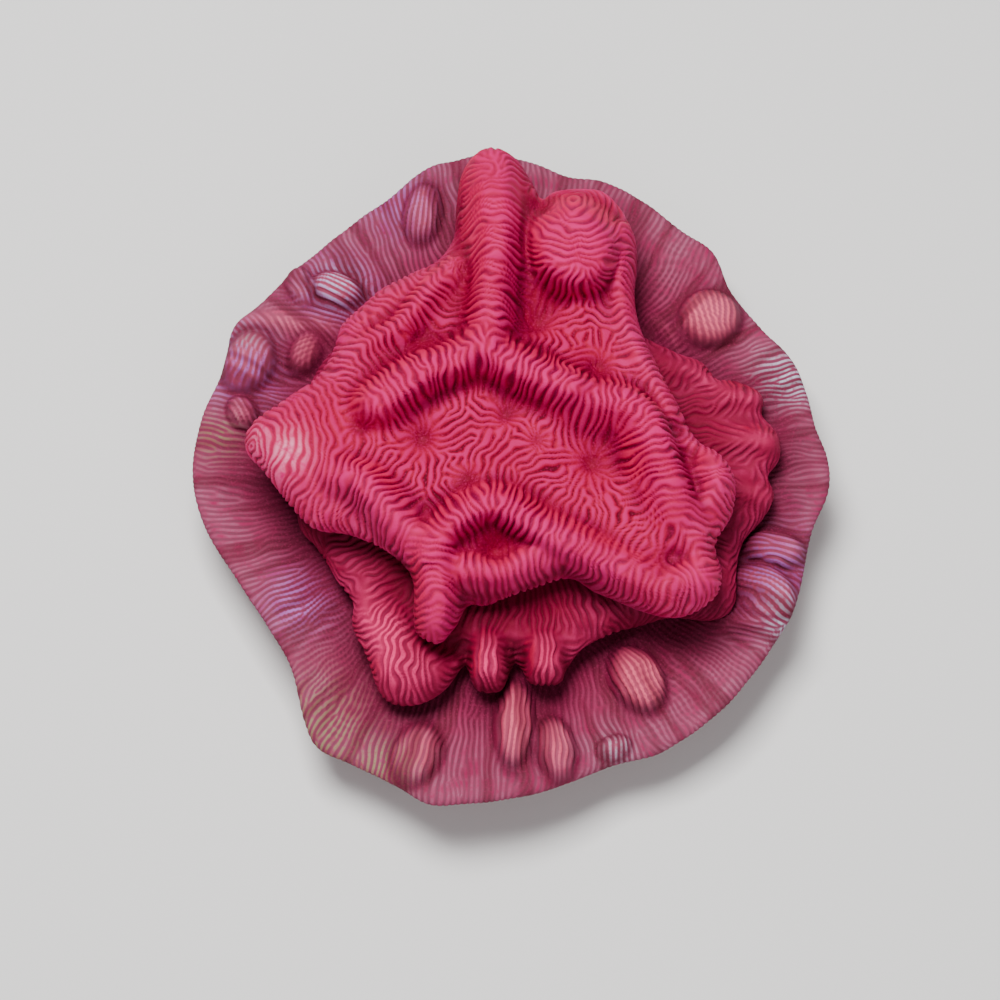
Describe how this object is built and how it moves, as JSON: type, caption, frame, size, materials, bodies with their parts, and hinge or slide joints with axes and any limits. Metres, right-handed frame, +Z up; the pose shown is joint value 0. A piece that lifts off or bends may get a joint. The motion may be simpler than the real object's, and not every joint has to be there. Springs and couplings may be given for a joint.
{
  "type": "stony plate coral",
  "caption": "Foliaceous plate coral colony: a broad rimmed base plate on a flat cut foot, a ruffled middle plate and a folded crown plate forked from it.",
  "frame": {"origin": "middle of the flat cut under the foot", "axes": "+Z up, out of the crown; +Y along the longest way across the colony, towards the long finger fold; +X to the right of that"},
  "size_m": [0.0902, 0.0988, 0.0361],
  "materials": {
    "base_flesh": "soft matt living coral flesh, dusty rose-mauve with a pale lilac and olive rim",
    "middle_flesh": "soft satin living coral flesh, deep carmine red",
    "crown_flesh": "soft satin living coral flesh, crimson with rose-pink crests"
  },
  "bodies": {
    "root": {"base_plate": "base_flesh", "middle_plate": "middle_flesh", "crown_plate": "crown_flesh"}
  },
  "joints": []
}
